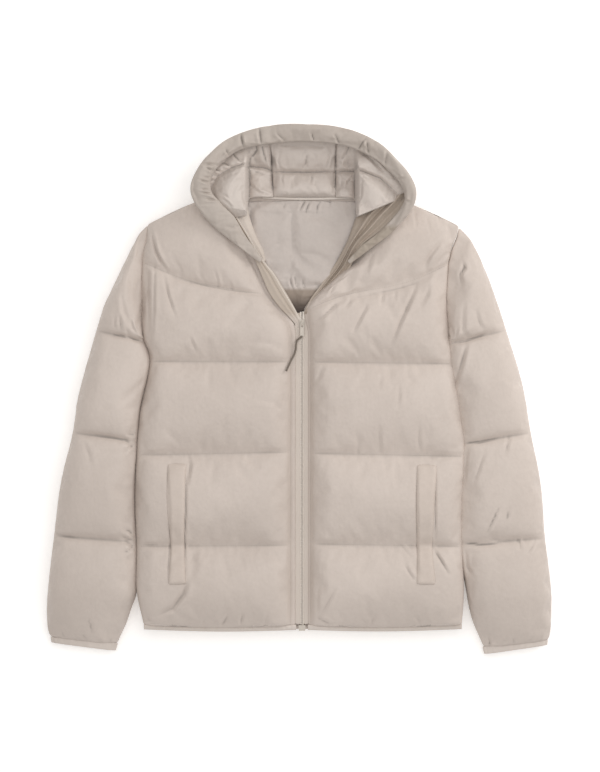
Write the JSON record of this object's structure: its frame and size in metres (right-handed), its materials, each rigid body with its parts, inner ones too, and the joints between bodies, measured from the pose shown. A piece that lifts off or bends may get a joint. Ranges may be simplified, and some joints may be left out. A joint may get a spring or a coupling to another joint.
{
  "type": "hooded puffer jacket laid flat",
  "caption": "Hooded padded jacket lying flat on its back, quilted in wide channels, zipped to the chest and open at the neck, with welt pockets and bound hem and cuffs.",
  "frame": {"origin": "on the back panel's flat underside, on the zip's line, about halfway up the body", "axes": "+Y up the jacket towards the hood, +X to the wearer's left, +Z out of the front"},
  "size_m": [0.8084, 0.8475, 0.088],
  "materials": {
    "shell_nylon": "matte downproof nylon, padded",
    "lining_nylon": "smooth nylon lining",
    "binding": "matte elastic binding",
    "zip_tape": "woven tape with a moulded coil",
    "zip_metal": "enamelled to match the shell",
    "pull_cord": "flat braided cord"
  },
  "bodies": {
    "jacket": {"back_panel": "shell_nylon", "front_right_panel": "shell_nylon", "front_left_panel": "shell_nylon", "sleeve_right": "shell_nylon", "sleeve_left": "shell_nylon", "pocket_welt_right": "shell_nylon", "pocket_welt_left": "shell_nylon", "hood_band": "shell_nylon", "hood_centre_panel": "lining_nylon", "hood_side_right": "lining_nylon", "hood_side_left": "lining_nylon", "back_lining": "lining_nylon", "front_facing_right": "lining_nylon", "front_facing_left": "lining_nylon", "neck_piping": "binding", "hem_binding_right": "binding", "hem_binding_left": "binding", "hem_binding_back": "binding", "cuff_binding_right": "binding", "cuff_binding_left": "binding", "zip_tape_right": "zip_tape", "zip_tape_left": "zip_tape", "zip_slider": "zip_metal", "zip_box": "zip_metal"},
    "pull": {"zip_pull_tab": "zip_metal", "zip_pull_cord": "pull_cord"}
  },
  "joints": [
    {"name": "pull_swing", "type": "hinge", "parent": "jacket", "child": "pull", "pos_m": [0, 0.1075, 0.0396], "axis": [-1, 0, 0], "range_deg": [0, 160]}
  ]
}
